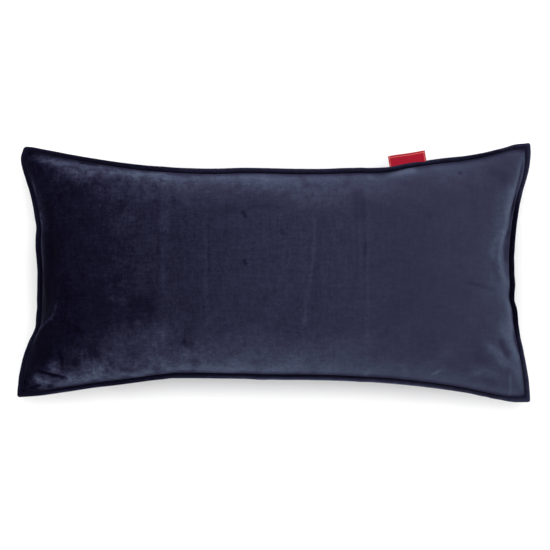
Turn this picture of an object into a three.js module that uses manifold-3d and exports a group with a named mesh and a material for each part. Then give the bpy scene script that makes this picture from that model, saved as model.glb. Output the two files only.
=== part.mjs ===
// A rectangular velvet cushion lying on its back, with a narrow stitched flange all
// round and a ribbon label in its upper edge. Millimetres, +X along the long side,
// +Y across, +Z up. The origin is the middle of its box, on the surface it rests on.
import * as THREE from 'three';
import * as BufferGeometryUtils from 'three/addons/utils/BufferGeometryUtils.js';
import Module from 'manifold-3d';

// Cushion, as filled: the panels rise from the seam in an elliptical section
const seamHeight = 64; // middle of the flange above the surface
const cornerDroop = 8; // the empty corners hang this much lower
const droopOnset = 5; // higher keeps the droop nearer the corners
const crownHeight = 78; // top of the front panel above the seam
const endFullness = 3.5; // how far the full height runs towards the short ends
const sideFullness = 2; // the same across, where 2 is an ellipse

// Flange, two layers of velvet with their turned-in edges
const flangeWidth = 8.5;
const grooveThickness = 2.8; // where the topstitching pulls it together
const bodyThickness = 4.4;
const lipThickness = 3.4;
const lipInset = 0.9;
const tipRounding = 1.6; // how far the outer tip of each corner is worn in

// Ribbon label: a folded tab whose lower part lies between the layers of the flange
const labelWidth = 58;
const labelShowing = 15;
const labelTucked = 5.5;
const labelThickness = 1.2;
const labelTurn = THREE.MathUtils.degToRad(9); // follows the slope of the edge there
const labelBase = { x: 209.6, y: 170.2 }; // middle of the tab, on the flange's outer edge
const clearance = 0.3;

// Facets of one panel, along and across. They close up towards the seam.
const cellsAlong = 56;
const cellsAcross = 30;
const closingUp = 0.8;

// Outer tips of the flange, and how far each side is drawn in from the straight line
// between its tips. "along" runs from the left or the upper tip, as a fraction.
const tips = {
  upperLeft: { x: -390, y: 197 },
  upperRight: { x: 399, y: 203 },
  lowerRight: { x: 398, y: -202 },
  lowerLeft: { x: -400, y: -193 },
};
const sides = {
  upper: {
    from: 'upperLeft',
    to: 'upperRight',
    inwards: { x: 0, y: -1 },
    drawnIn: [
      { along: 0.0, inward: 0 },
      { along: 0.05, inward: 6 },
      { along: 0.1, inward: 14 },
      { along: 0.2, inward: 27 },
      { along: 0.3, inward: 34.5 },
      { along: 0.45, inward: 36 },
      { along: 0.58, inward: 38.5 },
      { along: 0.65, inward: 37 },
      { along: 0.7, inward: 37.5 },
      { along: 0.75, inward: 33.5 },
      { along: 0.8, inward: 26 },
      { along: 0.9, inward: 16.5 },
      { along: 0.95, inward: 7.5 },
      { along: 1.0, inward: 0 },
    ],
  },
  lower: {
    from: 'lowerLeft',
    to: 'lowerRight',
    inwards: { x: 0, y: 1 },
    drawnIn: [
      { along: 0.0, inward: 0 },
      { along: 0.05, inward: 2.5 },
      { along: 0.1, inward: 9 },
      { along: 0.2, inward: 20.5 },
      { along: 0.3, inward: 31 },
      { along: 0.4, inward: 32 },
      { along: 0.6, inward: 31 },
      { along: 0.7, inward: 28.5 },
      { along: 0.8, inward: 22 },
      { along: 0.9, inward: 11 },
      { along: 0.95, inward: 2.5 },
      { along: 1.0, inward: 0 },
    ],
  },
  left: {
    from: 'upperLeft',
    to: 'lowerLeft',
    inwards: { x: 1, y: 0 },
    drawnIn: [
      { along: 0.0, inward: 0 },
      { along: 0.05, inward: -3 },
      { along: 0.1, inward: 0 },
      { along: 0.2, inward: 13 },
      { along: 0.3, inward: 20 },
      { along: 0.4, inward: 22 },
      { along: 0.5, inward: 26 },
      { along: 0.7, inward: 25.5 },
      { along: 0.76, inward: 20 },
      { along: 0.82, inward: 9.5 },
      { along: 0.9, inward: 2.5 },
      { along: 1.0, inward: 0 },
    ],
  },
  right: {
    from: 'upperRight',
    to: 'lowerRight',
    inwards: { x: -1, y: 0 },
    drawnIn: [
      { along: 0.0, inward: 0 },
      { along: 0.1, inward: 1.5 },
      { along: 0.2, inward: 13 },
      { along: 0.3, inward: 20 },
      { along: 0.4, inward: 23 },
      { along: 0.6, inward: 24 },
      { along: 0.65, inward: 19 },
      { along: 0.7, inward: 17 },
      { along: 0.8, inward: 10 },
      { along: 0.9, inward: 2.5 },
      { along: 1.0, inward: 0 },
    ],
  },
};

const velvet = new THREE.MeshStandardMaterial({ color: 0x292a3f, roughness: 0.9, metalness: 0 });
const redRibbon = new THREE.MeshStandardMaterial({ color: 0xb9183a, roughness: 0.6, metalness: 0 });

// The drawing-in at one place, as a smooth curve through the rows of a side's table
function drawnInAt(rows, along) {
  const slopeAt = (k) => {
    const before = rows[Math.max(k - 1, 0)];
    const after = rows[Math.min(k + 1, rows.length - 1)];
    return (after.inward - before.inward) / (after.along - before.along);
  };
  let k = rows.findIndex((row) => row.along > along) - 1;
  if (k < 0) k = rows.length - 2;
  const [start, end] = [rows[k], rows[k + 1]];
  const step = end.along - start.along;
  const u = (along - start.along) / step;
  const rest = 1 - u;
  const straight = start.inward * rest * rest * (1 + 2 * u) + end.inward * u * u * (1 + 2 * rest);
  return straight + step * u * rest * (slopeAt(k) * rest - slopeAt(k + 1) * u);
}

// A point of one side, `inset` inside the outer edge of the flange
function sidePoint(side, along, inset) {
  const corner = (name) => {
    const tip = tips[name];
    return { x: tip.x - Math.sign(tip.x) * inset, y: tip.y - Math.sign(tip.y) * inset };
  };
  const [from, to] = [corner(side.from), corner(side.to)];
  const inward = drawnInAt(side.drawnIn, along);
  return {
    x: from.x + (to.x - from.x) * along + side.inwards.x * inward,
    y: from.y + (to.y - from.y) * along + side.inwards.y * inward,
  };
}

// A point of the panel in plan. u runs from the left to the right side and v from the
// lower to the upper one, each -1 to 1, and the four sides are blended between them.
function planPoint(u, v) {
  const [right, up] = [(1 + u) / 2, (1 + v) / 2];
  const [left, down] = [1 - right, 1 - up];
  const upper = sidePoint(sides.upper, right, flangeWidth);
  const lower = sidePoint(sides.lower, right, flangeWidth);
  const leftSide = sidePoint(sides.left, down, flangeWidth);
  const rightSide = sidePoint(sides.right, down, flangeWidth);
  const corners = [
    { at: sidePoint(sides.upper, 0, flangeWidth), share: left * up },
    { at: sidePoint(sides.upper, 1, flangeWidth), share: right * up },
    { at: sidePoint(sides.lower, 0, flangeWidth), share: left * down },
    { at: sidePoint(sides.lower, 1, flangeWidth), share: right * down },
  ];
  const blended = (axis) =>
    upper[axis] * up + lower[axis] * down + leftSide[axis] * left + rightSide[axis] * right -
    corners.reduce((sum, corner) => sum + corner.at[axis] * corner.share, 0);
  return { x: blended('x'), y: blended('y') };
}

const seamLevel = (u, v) => seamHeight - cornerDroop * Math.abs(u * v) ** droopOnset;

function crownAt(u, v) {
  const lengthwise = 1 - Math.abs(u) ** endFullness;
  const crosswise = 1 - Math.abs(v) ** sideFullness;
  return crownHeight * Math.sqrt(Math.max(lengthwise * crosswise, 0));
}

// Place of a grid line between -1 and 1, with the lines closer together near the seam
function gridPlace(index, cells) {
  const even = (2 * index) / cells - 1;
  return (1 - closingUp) * even + closingUp * Math.sin((even * Math.PI) / 2);
}

function closedGeometry(points, triangles) {
  const geometry = new THREE.BufferGeometry();
  geometry.setAttribute('position', new THREE.Float32BufferAttribute(points, 3));
  geometry.setIndex(triangles);
  return geometry;
}

// The filled cushion and its flange, as one closed skin
function cushionGeometry() {
  const points = [];
  const triangles = [];
  const addPoint = (x, y, z) => points.push(x, y, z) / 3 - 1;
  const addQuad = (a, b, c, d) => triangles.push(a, b, c, a, c, d);

  const front = [];
  const back = [];
  for (let i = 0; i <= cellsAlong; i += 1) {
    front.push([]);
    back.push([]);
    for (let j = 0; j <= cellsAcross; j += 1) {
      const [u, v] = [gridPlace(i, cellsAlong), gridPlace(j, cellsAcross)];
      const { x, y } = planPoint(u, v);
      const level = seamLevel(u, v);
      const rise = crownAt(u, v) + grooveThickness / 2;
      front[i].push(addPoint(x, y, level + rise));
      back[i].push(addPoint(x, y, Math.max(level - rise, 0)));
    }
  }
  for (let i = 0; i < cellsAlong; i += 1) {
    for (let j = 0; j < cellsAcross; j += 1) {
      addQuad(front[i][j], front[i + 1][j], front[i + 1][j + 1], front[i][j + 1]);
      addQuad(back[i][j], back[i][j + 1], back[i + 1][j + 1], back[i + 1][j]);
    }
  }

  // The edge of the grid once round, anticlockwise from the lower left corner
  const round = [];
  for (let i = 0; i < cellsAlong; i += 1) round.push([i, 0]);
  for (let j = 0; j < cellsAcross; j += 1) round.push([cellsAlong, j]);
  for (let i = cellsAlong; i > 0; i -= 1) round.push([i, cellsAcross]);
  for (let j = cellsAcross; j > 0; j -= 1) round.push([0, j]);

  const rings = [
    { inset: flangeWidth * 0.55, thickness: bodyThickness },
    { inset: lipInset, thickness: lipThickness },
    { inset: 0, thickness: 0 },
  ];
  const sections = round.map(([i, j]) => {
    const [u, v] = [gridPlace(i, cellsAlong), gridPlace(j, cellsAcross)];
    const atEnd = i === 0 || i === cellsAlong;
    const atSide = j === 0 || j === cellsAcross;
    const side = atSide ? (j === 0 ? sides.lower : sides.upper) : i === 0 ? sides.left : sides.right;
    const along = atSide ? (1 + u) / 2 : (1 - v) / 2;
    const [above, below] = [[front[i][j]], [back[i][j]]];
    for (const ring of rings) {
      const inset = Math.max(ring.inset, atEnd && atSide ? tipRounding : 0);
      const { x, y } = sidePoint(side, along, inset);
      const level = seamLevel(u, v);
      above.push(addPoint(x, y, level + ring.thickness / 2));
      below.push(ring.thickness > 0 ? addPoint(x, y, level - ring.thickness / 2) : above.at(-1));
    }
    return { above, below };
  });
  sections.forEach((here, k) => {
    const next = sections[(k + 1) % sections.length];
    for (let r = 0; r < rings.length; r += 1) {
      const outermost = r === rings.length - 1;
      addQuad(here.above[r], here.above[r + 1], next.above[r + 1], next.above[r]);
      if (outermost) {
        addQuad(here.below[r], next.below[r], next.above[r + 1], here.above[r + 1]);
      } else {
        addQuad(here.below[r], next.below[r], next.below[r + 1], here.below[r + 1]);
      }
    }
  });
  return closedGeometry(points, triangles);
}

// The tab in its own axes: its length along +Y with the fold outermost, its width along X
function labelGeometry() {
  const half = labelThickness / 2;
  const section = new THREE.Shape();
  section.moveTo(-labelTucked, -half);
  section.lineTo(labelShowing - half, -half);
  section.absarc(labelShowing - half, 0, half, -Math.PI / 2, Math.PI / 2, false);
  section.lineTo(-labelTucked, half);
  section.closePath();
  const options = { depth: labelWidth, bevelEnabled: false, curveSegments: 6 };
  const geometry = new THREE.ExtrudeGeometry(section, options);
  geometry.translate(0, 0, -labelWidth / 2);
  const lengthAcross = new THREE.Matrix4().makeBasis(
    new THREE.Vector3(0, 1, 0),
    new THREE.Vector3(0, 0, 1),
    new THREE.Vector3(1, 0, 0),
  );
  return geometry.applyMatrix4(lengthAcross);
}

// Where the tab sits: turned with the edge, in the middle of the flange's thickness
function labelPlacement() {
  const along = (labelBase.x - tips.upperLeft.x) / (tips.upperRight.x - tips.upperLeft.x);
  const place = new THREE.Matrix4().makeRotationZ(labelTurn);
  return place.setPosition(labelBase.x, labelBase.y, seamLevel(2 * along - 1, 1));
}

// The gap between the two layers of the flange that the tab is sewn into
function labelSlotGeometry() {
  const pastEdge = 2 * flangeWidth;
  const length = labelTucked + clearance + pastEdge;
  const thickness = labelThickness + 2 * clearance;
  const slot = new THREE.BoxGeometry(labelWidth + 2 * clearance, length, thickness);
  return slot.translate(0, pastEdge - length / 2, 0);
}

const manifold = await Module();
manifold.setup();

function toSolid(geometry) {
  const bare = new THREE.BufferGeometry();
  bare.setAttribute('position', geometry.getAttribute('position').clone());
  if (geometry.index) bare.setIndex(geometry.index.clone());
  const merged = BufferGeometryUtils.mergeVertices(bare, 1e-4);
  return new manifold.Manifold(
    new manifold.Mesh({
      numProp: 3,
      vertProperties: new Float32Array(merged.getAttribute('position').array),
      triVerts: new Uint32Array(merged.index.array),
    }),
  );
}

function toGeometry(solid) {
  const { vertProperties, triVerts } = solid.getMesh();
  return closedGeometry(Array.from(vertProperties), Array.from(triVerts));
}

function meshOf(name, geometry, material) {
  geometry.computeVertexNormals();
  const mesh = new THREE.Mesh(geometry, material);
  mesh.name = name;
  return mesh;
}

const placement = labelPlacement();
const slot = toSolid(labelSlotGeometry().applyMatrix4(placement));
const filledCover = toGeometry(toSolid(cushionGeometry()).subtract(slot));
const cushion = meshOf('cushion', filledCover, velvet);

const edgeLabel = meshOf('edge_label', labelGeometry(), redRibbon);
edgeLabel.applyMatrix4(placement);

const pillow = new THREE.Group();
pillow.name = 'pillow';
pillow.add(cushion, edgeLabel);

// The middle of the box over the surface becomes the origin
const middle = new THREE.Box3().setFromObject(pillow).getCenter(new THREE.Vector3());
pillow.position.set(-middle.x, -middle.y, 0);

export default pillow;
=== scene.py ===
import math

import bmesh
import bpy
import numpy as np
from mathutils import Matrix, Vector


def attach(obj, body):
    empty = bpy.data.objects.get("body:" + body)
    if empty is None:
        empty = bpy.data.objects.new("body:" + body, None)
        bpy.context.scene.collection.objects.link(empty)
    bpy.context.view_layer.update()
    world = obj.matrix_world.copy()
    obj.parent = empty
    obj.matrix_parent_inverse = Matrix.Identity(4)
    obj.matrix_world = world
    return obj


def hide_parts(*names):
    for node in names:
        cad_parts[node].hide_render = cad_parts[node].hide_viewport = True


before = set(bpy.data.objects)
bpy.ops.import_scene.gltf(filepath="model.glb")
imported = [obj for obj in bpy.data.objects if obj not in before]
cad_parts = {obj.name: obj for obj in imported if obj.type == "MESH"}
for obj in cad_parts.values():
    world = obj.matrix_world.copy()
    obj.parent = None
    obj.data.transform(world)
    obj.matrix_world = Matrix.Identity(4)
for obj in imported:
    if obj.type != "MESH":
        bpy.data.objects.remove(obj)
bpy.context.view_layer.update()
mm = 0.001


# Small tools for meshes and objects

def placed(name, data):  # a new object in the scene
    made = bpy.data.objects.new(name, data)
    bpy.context.scene.collection.objects.link(made)
    return made


def meshOf(name, points, edges, faces):
    mesh = bpy.data.meshes.new(name)
    mesh.from_pydata(points, edges, faces)
    return mesh


def meshFrom(name, shape):  # a mesh of the bmesh, which is freed
    mesh = bpy.data.meshes.new(name)
    shape.to_mesh(mesh)
    shape.free()
    return mesh


def evaluated(item):
    return item.evaluated_get(bpy.context.evaluated_depsgraph_get())


def settled(item):  # its mesh with the modifiers worked in, and the object itself removed
    mesh = bpy.data.meshes.new_from_object(evaluated(item))
    bpy.data.objects.remove(item)
    return mesh


def smoothed(mesh):
    for face in mesh.polygons:
        face.use_smooth = True
    return mesh


def vertexValues(mesh, what="co"):
    values = np.empty(len(mesh.vertices) * 3)
    mesh.vertices.foreach_get(what, values)
    return values.reshape(-1, 3)


def addAttribute(mesh, name, values, domain="POINT"):
    attribute = mesh.attributes.new(name, "FLOAT", domain)
    attribute.data.foreach_set("value", values.astype(np.float32))


def quadsOf(index):  # over a grid of points
    around = [index[:-1, :-1], index[1:, :-1], index[1:, 1:], index[:-1, 1:]]
    return np.stack(around, -1).reshape(-1, 4)


def wayAlong(points):  # how far along a line each of its points is
    return np.concatenate([[0], np.cumsum(np.linalg.norm(np.diff(points, axis=0), axis=1))])


def bell(distance, width):
    return np.exp(-((distance / width) ** 2))


# Camera: straight above the pillow, far off, so the sides hardly show

cameraSet = {
    "height": 3.2,  # of the lens above the surface
    "seamHeight": 0.064,  # the level that the picture's scale holds at
    "pictureWidth": 0.8563,  # what the picture takes in at that level
    "sideways": 0.0016,
    "upwards": -0.0035,
}


def addCamera(s):
    data = bpy.data.cameras.new("camera")
    data.lens = data.sensor_width * (s["height"] - s["seamHeight"]) / s["pictureWidth"]
    camera = placed("camera", data)
    camera.location = (s["sideways"], s["upwards"], s["height"])
    bpy.context.scene.camera = camera


# Light: a white table under wide soft lights, a little stronger from the far side and the left

lightSet = {
    "world": 0.6,
    "tableTone": 0.97,
    "tableWidth": 12.0,
    # name, power in watts, width, depth, place, and the point it faces
    "lamps": [
        ("overhead", 22.0, 1.6, 1.2, (0.15, 0.5, 1.9), (0.0, 0.0, 0.0)),
        ("farSide", 20.0, 2.2, 0.5, (0.1, 1.7, 0.5), (0.0, 0.0, 0.05)),
        ("nearSide", 15.5, 2.2, 0.5, (0.1, -1.7, 0.5), (0.0, 0.0, 0.05)),
        ("rightSide", 12.0, 1.0, 0.5, (2.0, 0.0, 0.5), (0.0, 0.0, 0.05)),
        ("leftSide", 19.0, 1.0, 0.5, (-2.0, 0.0, 0.5), (0.0, 0.0, 0.05)),
    ],
}


def addLights(s):
    scene = bpy.context.scene
    scene.view_settings.view_transform = "Standard"
    world = bpy.data.worlds.new("studio")
    world.use_nodes = True
    background = world.node_tree.nodes["Background"].inputs
    background["Strength"].default_value = s["world"]
    background["Color"].default_value = (1, 1, 1, 1)
    scene.world = world
    for name, power, width, depth, place, target in s["lamps"]:
        lamp = bpy.data.lights.new(name, "AREA")
        lamp.shape = "RECTANGLE"
        lamp.size = width
        lamp.size_y = depth
        lamp.energy = power
        stand = placed(name, lamp)
        stand.location = place
        aim = Vector(target) - Vector(place)
        stand.rotation_euler = aim.to_track_quat("-Z", "Y").to_euler()


def makeTable(s):
    half = s["tableWidth"] / 2
    corners = [(-half, -half, 0), (half, -half, 0), (half, half, 0), (-half, half, 0)]
    floor = placed("floor", meshOf("floor", corners, [], [(0, 1, 2, 3)]))
    shader = Shader("white_table")
    floor.data.materials.append(shader.finish(Base_Color=(s["tableTone"],) * 3, Roughness=0.9))


# Small tools for shader trees: numbers are added and multiplied as in plain Python

class Socket:
    def __init__(self, shader, link):
        self.shader, self.link = shader, link

    def joined(self, operation, other, reverse=False):
        pair = (other, self) if reverse else (self, other)
        return self.shader.node("Math", {"operation": operation}, {0: pair[0], 1: pair[1]})

    def __add__(self, other):
        return self.joined("ADD", other)

    def __sub__(self, other):
        return self.joined("SUBTRACT", other)

    def __rsub__(self, other):
        return self.joined("SUBTRACT", other, reverse=True)

    def __mul__(self, other):
        return self.joined("MULTIPLY", other)

    __radd__ = __add__
    __rmul__ = __mul__

    def sine(self):
        return self.joined("SINE", 0.0)

    def kept(self):  # between 0 and 1
        return self.shader.node("Clamp", {}, {"Value": self})

    def eased(self, low, high):  # 0 below low, 1 above high
        values = {"Value": self, "From Min": low, "From Max": high}
        return self.shader.node("MapRange", {"interpolation_type": "SMOOTHSTEP"}, values)


class Shader:
    def __init__(self, name):
        self.material = bpy.data.materials.new(name)
        self.material.use_nodes = True
        self.tree = self.material.node_tree
        self.surface = self.tree.nodes["Principled BSDF"]

    def node(self, kind, settings, values, output=0):
        made = self.tree.nodes.new("ShaderNode" + kind)
        stops = settings.pop("stops", None)
        for key, value in settings.items():
            setattr(made, key, value)
        if stops:
            ramp = made.color_ramp
            while len(ramp.elements) < len(stops):
                ramp.elements.new(1.0)
            for element, (place, color) in zip(ramp.elements, stops):
                element.position, element.color = place, (*color, 1.0)
        for key, value in values.items():
            self.put(made.inputs[key], value)
        return Socket(self, made.outputs[output])

    def put(self, socket, value):
        if isinstance(value, Socket):
            self.tree.links.new(value.link, socket)
        elif hasattr(value, "__len__") and len(socket.default_value) == 4 and len(value) == 3:
            socket.default_value = (*value, 1.0)
        else:
            socket.default_value = value

    def finish(self, **values):
        for key, value in values.items():
            self.put(self.surface.inputs[key.replace("_", " ")], value)
        return self.material

    def mix(self, factor, first, second):
        made = self.tree.nodes.new("ShaderNodeMix")
        made.data_type = "RGBA"
        for key, value in (("Factor_Float", factor), ("A_Color", first), ("B_Color", second)):
            socket = next(i for i in made.inputs if i.identifier == key)
            self.put(socket, value)
        return Socket(self, next(o for o in made.outputs if o.identifier == "Result_Color"))

    def place(self):
        return self.node("TexCoord", {}, {}, "Object")

    def attribute(self, name):
        return self.node("Attribute", {"attribute_name": name}, {}, "Fac")

    def bump(self, strength, distance, height):
        values = {"Strength": strength, "Distance": distance, "Height": height}
        return self.node("Bump", {}, values)

    def scaled(self, color, factor):
        return self.node("VectorMath", {"operation": "SCALE"}, {0: color, "Scale": factor})

    def noise(self, vector, scale, detail=2.0, roughness=0.5, stretch=(1, 1, 1)):
        moved = self.node("Mapping", {}, {"Vector": vector, "Scale": stretch})
        values = {"Vector": moved, "Scale": scale, "Detail": detail, "Roughness": roughness}
        return self.node("TexNoise", {}, values, "Fac")


def colorOf(red, green, blue):  # linear light, from the 0 to 255 tones of a picture
    tones = [tone / 255 for tone in (red, green, blue)]
    return tuple(t / 12.92 if t < 0.04045 else ((t + 0.055) / 1.055) ** 2.4 for t in tones)


# Outline: the cushion's four sides in plan, read from its solid in the frame

outlineSet = {
    "stations": 22,  # read along each side, with a smooth line through them
    "tipReach": {  # of the cloth past the solid's rounded tips, each way in mm
        (-1, 1): (3.8, 1.0),
        (1, 1): (3.6, 1.2),
        (-1, -1): (3.9, 1.4),
        (1, -1): (4.4, 0.2),
    },
    "flangeWidth": 0.0085,
    "seamHeight": 0.064,
    "cornerDroop": 0.008,
    "droopOnset": 5,
}
# Where the seam is drawn in a little, or let out: place along the side, depth and width in mm
gathers = {
    "upper": [
        (0.02, -0.9, 12), (0.275, -0.5, 9), (0.372, 1.0, 42), (0.43, -0.4, 16), (0.664, -0.6, 8),
        (0.762, -1.9, 26), (0.87, 0.4, 10), (0.93, -0.5, 22), (0.97, -1.9, 12),
    ],
    "lower": [
        (0.15, 0.6, 22), (0.3, 0.7, 9), (0.477, -1.0, 16), (0.52, -0.7, 18), (0.668, -0.4, 9),
        (0.903, -0.8, 10), (0.925, -0.9, 9), (0.97, -0.9, 14),
    ],
    "left": [
        (0.03, -1.2, 14), (0.08, -0.6, 10), (0.225, -1.6, 9), (0.283, 1.0, 8), (0.36, 0.7, 8),
        (0.676, 1.3, 10), (0.696, 0.6, 30), (0.95, -1.9, 13),
    ],
    "right": [
        (0.04, -1.2, 20), (0.25, 1.1, 12), (0.3, 0.8, 10), (0.388, 1.4, 7), (0.453, -1.4, 12),
        (0.558, 0.5, 9), (0.59, 1.0, 30), (0.96, -1.3, 14),
    ],
}


def readSides(node, s):
    points = np.array([v.co for v in node.data.vertices])
    edges = np.array([e.vertices for e in node.data.edges])

    def tip(right, up):  # the pillow is half as wide as long, so its width counts double
        end = points[(points[:, 0] * right + points[:, 1] * up * 2).argmax()]
        return end[:2] + np.array(s["tipReach"][right, up]) * (right, up) * mm

    def furthest(axis, station, outward):  # of the outline, where it crosses a line
        first, last = points[edges[:, 0]], points[edges[:, 1]]
        span = last[:, axis] - first[:, axis]
        crossing = (first[:, axis] - station) * (last[:, axis] - station) <= 0
        crossing &= np.abs(span) > 1e-9
        share = (station - first[crossing, axis]) / span[crossing]
        other = 1 - axis
        reach = first[crossing, other] * (1 - share) + last[crossing, other] * share
        return (reach * outward).max() * outward

    corners = {(x, y): tip(x, y) for x in (-1, 1) for y in (-1, 1)}
    layout = {  # first corner, last corner, the axis that it runs along, outward sign
        "upper": ((-1, 1), (1, 1), 0, 1),
        "lower": ((-1, -1), (1, -1), 0, -1),
        "left": ((-1, -1), (-1, 1), 1, -1),
        "right": ((1, -1), (1, 1), 1, 1),
    }
    sides = {}
    for name, (start, end, axis, outward) in layout.items():
        line = []
        for along in np.linspace(0, 1, s["stations"] + 1):
            point = corners[start] * (1 - along) + corners[end] * along
            if 0 < along < 1:
                point[1 - axis] = furthest(axis, point[axis], outward)
            line.append(point)
        inward = np.zeros(2)
        inward[1 - axis] = -outward
        forward = np.zeros(2)
        forward[axis] = 1
        sides[name] = {"line": np.array(line), "inward": inward, "forward": forward}
    return sides


def smoothLine(line, along):  # through evenly spaced points
    along = np.clip(np.asarray(along, float), 0, 1) * (len(line) - 1)
    k = np.minimum(along.astype(int), len(line) - 2)
    u = (along - k)[:, None]
    padded = np.vstack([2 * line[0] - line[1], line, 2 * line[-1] - line[-2]])
    before, start, end, after = (padded[k + n] for n in range(4))
    cubic = 3 * (start - end) + after - before
    return start + u / 2 * (end - before + u * (2 * before - 5 * start + 4 * end - after + u * cubic))


def sidePoints(name, along, inset):  # inset is from the outer edge of the flange
    side = sides[name]
    along = np.asarray(along, float)
    points = smoothLine(side["line"], along)
    points = points + inset * side["inward"]
    points = points + inset * (1 - 2 * along)[:, None] * side["forward"]
    length = np.linalg.norm(side["line"][-1] - side["line"][0])
    for place, depth, width in gathers[name]:
        bump = bell((along - place) * length, width * mm)
        points = points + depth * mm * bump[:, None] * side["inward"]
    return points


def evenPlaces(name, cells, inset):  # places along a side that are equally far apart
    fine = np.linspace(0, 1, 1601)
    travelled = wayAlong(sidePoints(name, fine, inset))
    return np.interp(np.linspace(0, travelled[-1], cells + 1), travelled, fine)


def seamLevel(u, v):  # u and v run from -1 to 1 over the cushion
    s = outlineSet
    return s["seamHeight"] - s["cornerDroop"] * np.abs(u * v) ** s["droopOnset"]


sides = readSides(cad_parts["cushion"], outlineSet)
print("outline read")


# Cushion: two flat panels, sewn together along the outline and blown up with cloth pressure

cushionSet = {
    "flatLength": 0.783,  # of each panel between its seams, as cut
    "flatWidth": 0.383,
    "cell": 0.0076,  # of the cloth, four times as coarse as the finished upper face
    "quickCell": 0.0105,
    "firstCrown": 0.074,  # the height that the panels start from, above the seam
    "firstSquareness": 3.5,
    "frames": 26,
    "quickFrames": 14,
    "quality": 8,  # steps in each frame
    "pressure": 2.0,
    "mass": 0.1,
    "stretch": 40.0,
    "shear": 10.0,
    "bending": 0.5,
    "floorSoftness": 0.004,
}


def panelGrid(s, cell):
    columns = round(s["flatLength"] / cell)
    rows = round(s["flatWidth"] / cell)
    inset = outlineSet["flangeWidth"]
    along = {name: evenPlaces(name, columns, inset) for name in ("upper", "lower")}
    along.update({name: evenPlaces(name, rows, inset) for name in ("left", "right")})
    edge = {name: sidePoints(name, places, inset) for name, places in along.items()}
    u = np.linspace(-1, 1, columns + 1)[:, None]
    v = np.linspace(-1, 1, rows + 1)[None, :]
    right, up = ((1 + u) / 2)[..., None], ((1 + v) / 2)[..., None]
    plan = edge["lower"][:, None] * (1 - up) + edge["upper"][:, None] * up
    plan = plan + edge["left"][None] * (1 - right) + edge["right"][None] * right
    plan = plan - edge["lower"][0] * (1 - right) * (1 - up) - edge["lower"][-1] * right * (1 - up)
    plan = plan - edge["upper"][0] * (1 - right) * up - edge["upper"][-1] * right * up
    level = seamLevel(u, v)
    crown = s["firstCrown"] * np.sqrt(np.clip((1 - np.abs(u) ** s["firstSquareness"]) * (1 - v**2), 0, 1))
    flat = np.zeros((columns + 1, rows + 1, 3))
    flat[..., 0] = u * s["flatLength"] / 2
    flat[..., 1] = v * s["flatWidth"] / 2
    return plan, level, crown, flat


def coverMesh(s, cell):
    plan, level, crown, flat = panelGrid(s, cell)
    columns, rows = level.shape[0] - 1, level.shape[1] - 1
    index = np.arange((columns + 1) * (rows + 1)).reshape(columns + 1, rows + 1)
    rim = np.zeros_like(index, bool)
    rim[[0, -1], :] = rim[:, [0, -1]] = True
    backIndex = index.copy()
    backIndex[~rim] = index.size + np.arange((~rim).sum())
    front = np.dstack([plan, level + crown])
    back = np.dstack([plan, level - crown])
    points = np.vstack([front.reshape(-1, 3), back[~rim]])
    rest = np.vstack([flat.reshape(-1, 3), flat[~rim]])
    under = np.roll(quadsOf(backIndex)[:, ::-1], 1, axis=1)  # these face down
    faces = np.vstack([quadsOf(index), under])
    return meshOf("cushion_cover", points.tolist(), [], faces.tolist()), rest, index, backIndex


def inflated(mesh, rest, pinned, s, frames):
    cover = placed("cushion_cloth", mesh)
    cover.shape_key_add(name="Basis")
    asCut = cover.shape_key_add(name="as_cut")
    asCut.data.foreach_set("co", rest.ravel())
    cover.vertex_groups.new(name="seam").add(pinned, 1, "REPLACE")
    cloth = cover.modifiers.new("cloth", "CLOTH")
    settings = cloth.settings
    settings.quality = s["quality"]
    settings.mass = s["mass"]
    settings.tension_stiffness = settings.compression_stiffness = s["stretch"]
    settings.shear_stiffness = s["shear"]
    settings.bending_stiffness = s["bending"]
    settings.vertex_group_mass = "seam"
    settings.rest_shape_key = asCut
    settings.use_pressure = True
    settings.uniform_pressure_force = s["pressure"]
    settings.effector_weights.gravity = 0
    cloth.collision_settings.use_collision = False
    cloth.point_cache.frame_end = frames
    for number in range(1, frames + 1):
        bpy.context.scene.frame_set(number)
    points = vertexValues(evaluated(cover).data)
    bpy.context.scene.frame_set(1)
    bpy.data.objects.remove(cover)
    return points


def aboveFloor(height, softness):  # like max(height, 0), with a rounded turn
    turn = np.clip((height + softness) / (2 * softness), 0, 1)
    return np.where(height > softness, height, turn * turn * softness)


def subdivided(mesh, rim):  # once, with the seam kept sharp
    corners = np.array([edge.vertices for edge in mesh.edges])
    addAttribute(mesh, "crease_edge", rim[corners].all(1), "EDGE")
    rough = placed("rough_cover", mesh)
    finer = rough.modifiers.new("finer", "SUBSURF")
    finer.levels = finer.render_levels = 1
    return settled(rough)


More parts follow.
